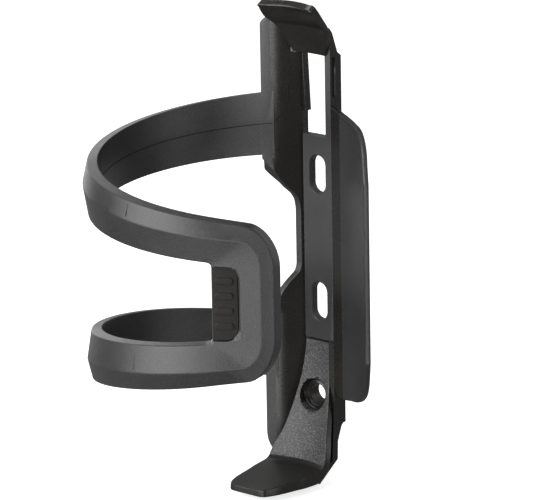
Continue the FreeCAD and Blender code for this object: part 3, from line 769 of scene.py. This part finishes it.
def make_wing():
    top, low = 52.3, -31.4
    outline = drawn(
        [(RAIL_OUT, top + 0.9), (11.6, top), (20.3, top - 1.7), (26.0, top - 4.2), (28.9, top - 11.0),
         (30.6, top - 16.0), (30.6, low + 17.0), (28.8, low + 11.5), (24.6, low + 4.4),
         (17.0, low + 1.1), (12.5, low + 0.2), (RAIL_OUT, low)], (3, 8))
    pattern = [(wing_pattern(x), z) for x, z in outline]
    bm = plate(pattern, 0.0, WALL, WING_ROUND, lambda p: p.x > 0.02)
    slice_along(bm, 0, [WING_RUN] + [WING_RUN + s for s in steps(0.25, 22.0, 0.75)])
    bend(bm, wing_place)
    return finish_mesh(bm, "side_wing_shell")


def wing_finish(centre, normal):
    """Grained past the crease and at the back, smooth near the rail."""
    return 1 if centre.x > around(BOTTLE, CREASE).x - 0.05 or normal.y > 0.3 else 0


wing = make_wing()
dress(wing, (SMOOTH_AND_SHADE, GRAINED), "side_wing")
finish_by(wing, wing_finish)

# ---------------------------------------------------------------- hook

HOOK_WALL = 2.0
# place t along the strip, then the radius and height there of its bottle side and of its back
HOOK_INNER = [(0.0, 35.3, 67.4), (2.91, 34.5, 70.2), (7.09, 33.0, 74.1), (8.79, 32.4, 75.7),
              (11.55, 30.4, 77.6), (15.05, 28.6, 80.6), (16.40, 27.6, 81.5), (17.57, 27.2, 82.6)]
HOOK_OUTER = [(0.0, 37.3, 67.4), (4.3, 36.3, 71.6), (9.9, 33.9, 76.7), (13.8, 31.4, 80.3),
              (16.8, 29.3, 83.2), (17.57, 28.4, 83.9)]
# place t, then X, of the left and right edges
HOOK_EDGES = ([(0.0, -5.95), (7.7, -9.0), (8.9, -9.9), (12.2, -10.95), (14.2, -11.1), (16.2, -10.9)],
              [(0.0, 5.95), (8.6, 9.1), (11.5, 8.7), (14.8, 8.4), (16.4, 7.9)])


def between(points, place):
    """Straight-line interpolation in a list of (place, value...)."""
    place = min(max(place, points[0][0]), points[-1][0])
    for low, high in zip(points, points[1:]):
        if place <= high[0]:
            share = (place - low[0]) / (high[0] - low[0])
            return [a + (b - a) * share for a, b in zip(low[1:], high[1:])]
    return list(points[-1][1:])


def hook_place(x, w, t):
    """w runs from 0 on the bottle's side to HOOK_WALL on the back."""
    inner, outer = between(HOOK_INNER, t), between(HOOK_OUTER, t)
    share = w / HOOK_WALL
    radius = inner[0] + (outer[0] - inner[0]) * share
    height = inner[1] + (outer[1] - inner[1]) * share
    return Vector((x, AXIS_Y + math.sqrt(radius * radius - x * x), height))


def make_hook():
    left, right = HOOK_EDGES
    places = steps(0.0, 16.2, 0.6)
    outline = [(between(right, t)[0], t) for t in places] + [(7.2, 16.75)]
    outline += [(x, 16.95 - 0.008 * (x + 1.0) ** 2) for x in (5.5, 3.0, 0.0, -3.0, -6.0, -8.5)]
    outline += [(-10.3, 16.7)] + [(between(left, t)[0], t) for t in reversed(places)]
    bm = plate(outline, 0.0, HOOK_WALL, 0.3, lambda p: p.z > 0.02, 5)
    slice_along(bm, 2, [p[0] for p in HOOK_INNER[1:-1]] + [p[0] for p in HOOK_OUTER[1:-1]])
    slice_along(bm, 0, steps(-10.0, 8.75, 1.25))
    bend(bm, hook_place)
    return finish_mesh(bm, "top_hook_shell", 17.0)


hook = make_hook()
dress(hook, (SMOOTH_AND_SHADE, GRAINED), "top_hook")

# ---------------------------------------------------------------- foot

FOLD = 37.6
FOOT_END = 63.4            # t where the shelf would reach the bottle's axis
# place t down the upright and out along the shelf, then radius and height, of both sides
FOOT_FRONT = table([(0.0, 37.2, -16.2), (9.8, 36.1, -25.9), (20.8, 33.4, -36.6), (33.3, 29.1, -48.4),
                    (35.2, 28.0, -50.1), (FOLD, 25.8, -50.85), (FOOT_END, 0.0, -52.6)])
FOOT_BACK = table([(0.0, 38.66, -16.2), (10.3, 37.9, -26.5), (21.0, 35.4, -38.0), (33.3, 31.2, -50.2),
                   (35.4, 28.9, -53.4), (FOLD, 25.9, -54.4), (FOOT_END, 0.0, -54.2)])
NOSE_Y = -35.4
STRAIGHTEN = 9.0           # past the fold, over which the shelf stops following the bottle
SHELF_SLOPE = 1.75 / 25.8
# height or Y, then half the width
UPRIGHT_HALF = table([(-50.3, 10.2), (-49.4, 10.2), (-41.5, 7.9), (-30.3, 5.8), (-20.0, 4.5),
                      (-16.2, 4.3)])
SHELF_HALF = table([(-35.4, 4.7), (-34.5, 6.4), (-32.6, 7.4), (-30.0, 8.2), (-24.5, 9.2), (-19.0, 10.0),
                    (-12.0, 10.2), (-5.0, 10.2)])
NOMINAL = 2.0              # the flat pattern's thickness; the tables give the true one
SEAM_GAP = 0.42            # open joint between the plate and the foot


def foot_place(x, w, t):
    """w runs from 0 on the bottle's side to NOMINAL at the back; t runs down the upright and out."""
    front, back = FOOT_FRONT(t), FOOT_BACK(t)
    share = w / NOMINAL
    radius = front[0] + (back[0] - front[0]) * share
    height = front[1] + (back[1] - front[1]) * share
    reach_y = math.sqrt(max(radius * radius - x * x, 0.0))
    if t > FOLD:
        straight = min((t - FOLD) / STRAIGHTEN, 1.0)
        straight = straight * straight * (3.0 - 2.0 * straight)
        reach_y += (radius - reach_y) * straight
        true_radius = math.hypot(x, reach_y)
        height += (true_radius - radius) * SHELF_SLOPE * (1.0 - share)
    return Vector((x, AXIS_Y + reach_y, height))


def foot_half(t):
    """Half the foot's width at a place on its flat pattern."""
    radius, height = FOOT_FRONT(t)
    if height > -49.9:
        return UPRIGHT_HALF(height)
    return min(SHELF_HALF(AXIS_Y + radius), 10.2)


def make_foot():
    nose = FOOT_END + AXIS_Y - NOSE_Y
    half = [(foot_half(t), t) for t in steps(SEAM_GAP, nose - 1.2, 0.9)]
    half += [(6.4, nose - 0.8), (5.8, nose - 0.35), (5.0, nose - 0.06), (4.2, nose)]
    outline = half + [(-x, t) for x, t in reversed(half)]
    bm = plate(outline, 0.0, NOMINAL, 0.3, lambda p: p.z > SEAM_GAP + 0.2)
    slice_along(bm, 2, steps(0.8, 33.0, 1.1) + steps(33.4, 39.0, 0.4) + steps(40.0, 56.0, 1.5))
    slice_along(bm, 0, steps(-9.6, 9.6, 1.2))
    bend(bm, foot_place)
    foot = finish_mesh(bm, "bottle_foot_shell")
    combine(foot, turned([(5.05, -1.65), (5.05, -4.0)], "boss"), "UNION")
    seat = [(2.75, 1.0), (2.75, SEAT_Y - 0.1), (2.95, SEAT_Y - 0.3), (3.2, SEAT_Y - 0.3),
            (3.4, SEAT_Y), (3.75, SEAT_Y), (4.2, SEAT_Y - 0.35), (4.3, SEAT_Y - 0.9),
            (4.75, SEAT_Y - 1.1), (4.75, -20.0)]
    combine(foot, turned(seat, "screw_seat"), "DIFFERENCE")
    return foot


foot = make_foot()
dress(foot, (FOOT, SMOOTH_AND_SHADE, SHELF), "bottle_foot")


def foot_finish(centre, normal):
    """Grained front; the shelf's top and the screw seat are smooth; the side facing the wing gets the
    dark smooth finish as painted shade.
    """
    # normal.x > 0.8 picks the side facing the wing, made dark as painted shade for the gap it stands in
    if math.hypot(centre.x, centre.z - LOWER_BOLT) < SEAT_RIM or normal.x > 0.8:
        return 1
    if centre.z > -49.6:
        return 0
    return 2


finish_by(foot, foot_finish)

# ---------------------------------------------------------------- rails, plate and tail

STUB_CUT = -7.25           # beyond this X the left rail is covered by the side wall


def trim_left(obj):
    """Drops the left rail's stub, which the side wall covers.  Every face that has a corner on the
    stub goes too, so the rail's back face is missing as well and the mesh isn't closed there."""
    bm = bmesh.new()
    bm.from_mesh(obj.data)
    covered = [v for v in bm.verts if v.co.x < STUB_CUT * MM]
    bmesh.ops.delete(bm, geom=covered, context="VERTS")
    bm.to_mesh(obj.data)
    bm.free()


def is_window_rim(middle):
    return middle.z > 43.5 and middle.x > -RAIL_IN + 0.05


def is_front_inner(middle):
    return abs(middle.x - RAIL_IN) < 0.05 and middle.y < RAIL_FRONT + 0.3


def is_slot_rim(middle):
    return middle.y < PLATE_FRONT + 0.05 and (abs(middle.x) < 3.0 or middle.z > 43.0)


def is_tail_rim(middle):
    return middle.z < -50.6


rail_left = bevelled_copy("rail_left", "rail_left_shell", 0.12, is_window_rim)
dress(rail_left, SMOOTH_AND_SHADE, "rail_left")
trim_left(rail_left)
rail_right = bevelled_copy("rail_right", "rail_right_shell", 0.35, is_front_inner)
dress(rail_right, (SMOOTH_AND_SHADE, PLATE), "rail_right")
finish_by(rail_right, lambda centre, normal: 1 if normal.y < -0.9 and centre.z > -16.0 else 0)
dress(bevelled_copy("slot_plate", "slot_plate_shell", 0.22, is_slot_rim), PLATE,
      "slot_plate")
dress(bevelled_copy("bolt_wall", "bolt_wall_shell"), SMOOTH_AND_SHADE, "bolt_wall")
dress(bevelled_copy("tail_wall", "tail_wall_shell"), SMOOTH_AND_SHADE, "tail_wall")
dress(bevelled_copy("tail_lip", "tail_lip_shell", 0.35, is_tail_rim), SMOOTH_AND_SHADE,
      "tail_lip")

# ---------------------------------------------------------------- fine mould lines

LINE_RADIUS = 0.13
LINE_SUNK = 0.07           # how far a line's middle lies below the surface
LINE_SIDES = 8
WALL_NORMAL = Vector((0.75, -0.66, 0.0))


def mould_line(name, points, outward):
    """A fine raised line left by the mould, along points on a surface."""
    rings = []
    for k, point in enumerate(points):
        along = (points[min(k + 1, len(points) - 1)] - points[max(k - 1, 0)]).normalized()
        out = outward(point)
        side = along.cross(out).normalized()
        out = side.cross(along).normalized()
        centre = point - out * LINE_SUNK
        rings.append([centre + (out * math.cos(a) + side * math.sin(a)) * LINE_RADIUS
                      for a in [2 * math.pi * j / LINE_SIDES for j in range(LINE_SIDES)]])
    obj = finish_mesh(loft(rings), name, 60.0)
    obj.data.materials.append(LINE)
    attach(obj, "root")


def inward(point):
    """Level direction from a point to the bottle's axis."""
    return Vector((-point.x, AXIS_Y - point.y, 0.0)).normalized()


def wall_point(share, z):
    """A place on the left wall's inner face, between the rail and the crease."""
    return Vector(SHEET_ROOT).lerp(flat(around(BOTTLE, -CREASE)), share).to_3d() + Vector((0.0, 0.0, z))


# height, then the share of the way from the rail to the crease
WALL_LINE = table([(46.6, 0.97), (47.3, 0.89), (48.9, 0.70), (50.9, 0.56), (53.8, 0.49), (58.0, 0.47),
                   (69.0, 0.45), (75.5, 0.44)])
mould_line("wall_line", [wall_point(WALL_LINE(z), z) for z in steps(46.6, 75.5, 0.6)],
           lambda p: WALL_NORMAL)


def arm_middle(turn):
    height = LOOP_Z + (outer_height(turn) + gap_height(turn)) / 2.0
    return around(BOTTLE, -turn, height)


mould_line("arm_line", [arm_middle(turn) for turn in steps(20.6, 204.0, 3.0)], inward)


def facet_line(turn, mirrored):
    """A mark across the facet between the ridge and the edge that faces up."""
    low = (ridge_height(turn) + (-0.9 if mirrored else 0.9), RIDGE_HEIGHT - 0.15)
    high = (gap_height(turn) + 1.2 if mirrored else outer_height(turn) - 0.9, DRAFT + EDGE + 0.05)
    points = []
    for share in steps(0.0, 1.0, 0.2):
        height = low[0] + (high[0] - low[0]) * share
        out = low[1] + (high[1] - low[1]) * share
        points.append(around(BOTTLE + out, -turn, LOOP_Z + (-height if mirrored else height)))
    return points


mould_line("arm_mark_upper", facet_line(178.0, False), lambda p: -inward(p))
mould_line("arm_mark_lower", facet_line(180.0, True), lambda p: -inward(p))

# ---------------------------------------------------------------- floor, light and camera


FLOOR_RADIUS = 4000.0
FLOOR_SIDES = 48
FLOOR_DROP = 0.3           # how far the floor lies below the cage


def make_floor():
    bm = bmesh.new()
    level = cad_box[0].z / MM - FLOOR_DROP
    turns = [2 * math.pi * k / FLOOR_SIDES for k in range(FLOOR_SIDES)]
    bm.faces.new([bm.verts.new((FLOOR_RADIUS * math.cos(turn), FLOOR_RADIUS * math.sin(turn), level))
                  for turn in turns])
    floor = finish_mesh(bm, "floor")
    material = bpy.data.materials.new("studio_floor")
    material.use_nodes = True
    shader = material.node_tree.nodes["Principled BSDF"]
    shader.inputs["Base Color"].default_value = (0.75, 0.75, 0.75, 1.0)
    shader.inputs["Roughness"].default_value = 0.9
    shader.inputs["Emission Color"].default_value = (1.0, 1.0, 1.0, 1.0)
    shader.inputs["Emission Strength"].default_value = 0.75
    floor.data.materials.append(material)
    floor.visible_glossy = False
    floor.visible_diffuse = False
    floor.visible_shadow = False


LIT_SPOT = Vector((0.0, -0.035, 0.014))     # metres: what every light faces


def softbox(name, azimuth, elevation, distance, width, height, radiance):
    """A rectangular light facing the cage; azimuth 0 is the front, 90 the wing's side."""
    data = bpy.data.lights.new(name, "AREA")
    data.shape = "RECTANGLE"
    data.size = width
    data.size_y = height
    data.energy = radiance * math.pi * width * height
    light = bpy.data.objects.new(name, data)
    bpy.context.scene.collection.objects.link(light)
    away = Vector((math.sin(azimuth * DEGREE) * math.cos(elevation * DEGREE),
                   -math.cos(azimuth * DEGREE) * math.cos(elevation * DEGREE),
                   math.sin(elevation * DEGREE)))
    light.location = LIT_SPOT + away * distance
    light.rotation_mode = "QUATERNION"
    light.rotation_quaternion = away.to_track_quat("Z", "Y")


def make_world():
    world = bpy.data.worlds.new("studio")
    bpy.context.scene.world = world
    world.use_nodes = True
    back = world.node_tree.nodes["Background"]
    back.inputs["Color"].default_value = (1.0, 1.0, 1.0, 1.0)
    back.inputs["Strength"].default_value = 0.22


# the camera of the photograph: angles in degrees, distance in millimetres
CAMERA_AZIMUTH, CAMERA_ELEVATION, CAMERA_ROLL = 41.5, 14.7, -1.04
CAMERA_AWAY = 1200.0
PIXELS_PER_MM = 3.608      # in the middle of the picture
PICTURE_WIDTH = 533.0
SENSOR = 36.0


def make_camera():
    azimuth, elevation, roll = [a * DEGREE for a in (CAMERA_AZIMUTH, CAMERA_ELEVATION, CAMERA_ROLL)]
    back = Vector((math.sin(azimuth) * math.cos(elevation),
                   -math.cos(azimuth) * math.cos(elevation), math.sin(elevation)))
    right = Vector((math.cos(azimuth), math.sin(azimuth), 0.0))
    up = back.cross(right)
    target = Vector((0.0, -0.038, 0.0)) + right * 0.0088 + Vector((0.0, 0.0, 0.0172))
    x_axis = math.cos(roll) * right + math.sin(roll) * up
    y_axis = -math.sin(roll) * right + math.cos(roll) * up
    data = bpy.data.cameras.new("camera")
    data.sensor_width = SENSOR
    data.lens = PIXELS_PER_MM * CAMERA_AWAY * SENSOR / PICTURE_WIDTH
    data.clip_start, data.clip_end = 0.05, 20.0
    camera = bpy.data.objects.new("camera", data)
    bpy.context.scene.collection.objects.link(camera)
    turned_to = Matrix((x_axis, y_axis, back)).transposed().to_4x4()
    camera.matrix_world = Matrix.Translation(target + back * CAMERA_AWAY * MM) @ turned_to
    bpy.context.scene.camera = camera


make_floor()
make_world()
softbox("front", -15.0, 18.0, 0.6, 0.62, 0.72, 4.9)
softbox("front_low", 24.0, -13.0, 0.6, 0.26, 0.26, 4.0)
softbox("left", -114.0, 18.0, 0.6, 0.36, 0.66, 1.5)
softbox("right", 90.0, 8.0, 0.9, 0.55, 0.9, 1.3)
softbox("back", 170.0, 14.0, 0.9, 0.9, 0.8, 0.7)
softbox("above", -20.0, 80.0, 0.9, 0.9, 0.9, 0.55)
make_camera()
bpy.context.scene.view_settings.view_transform = "Standard"
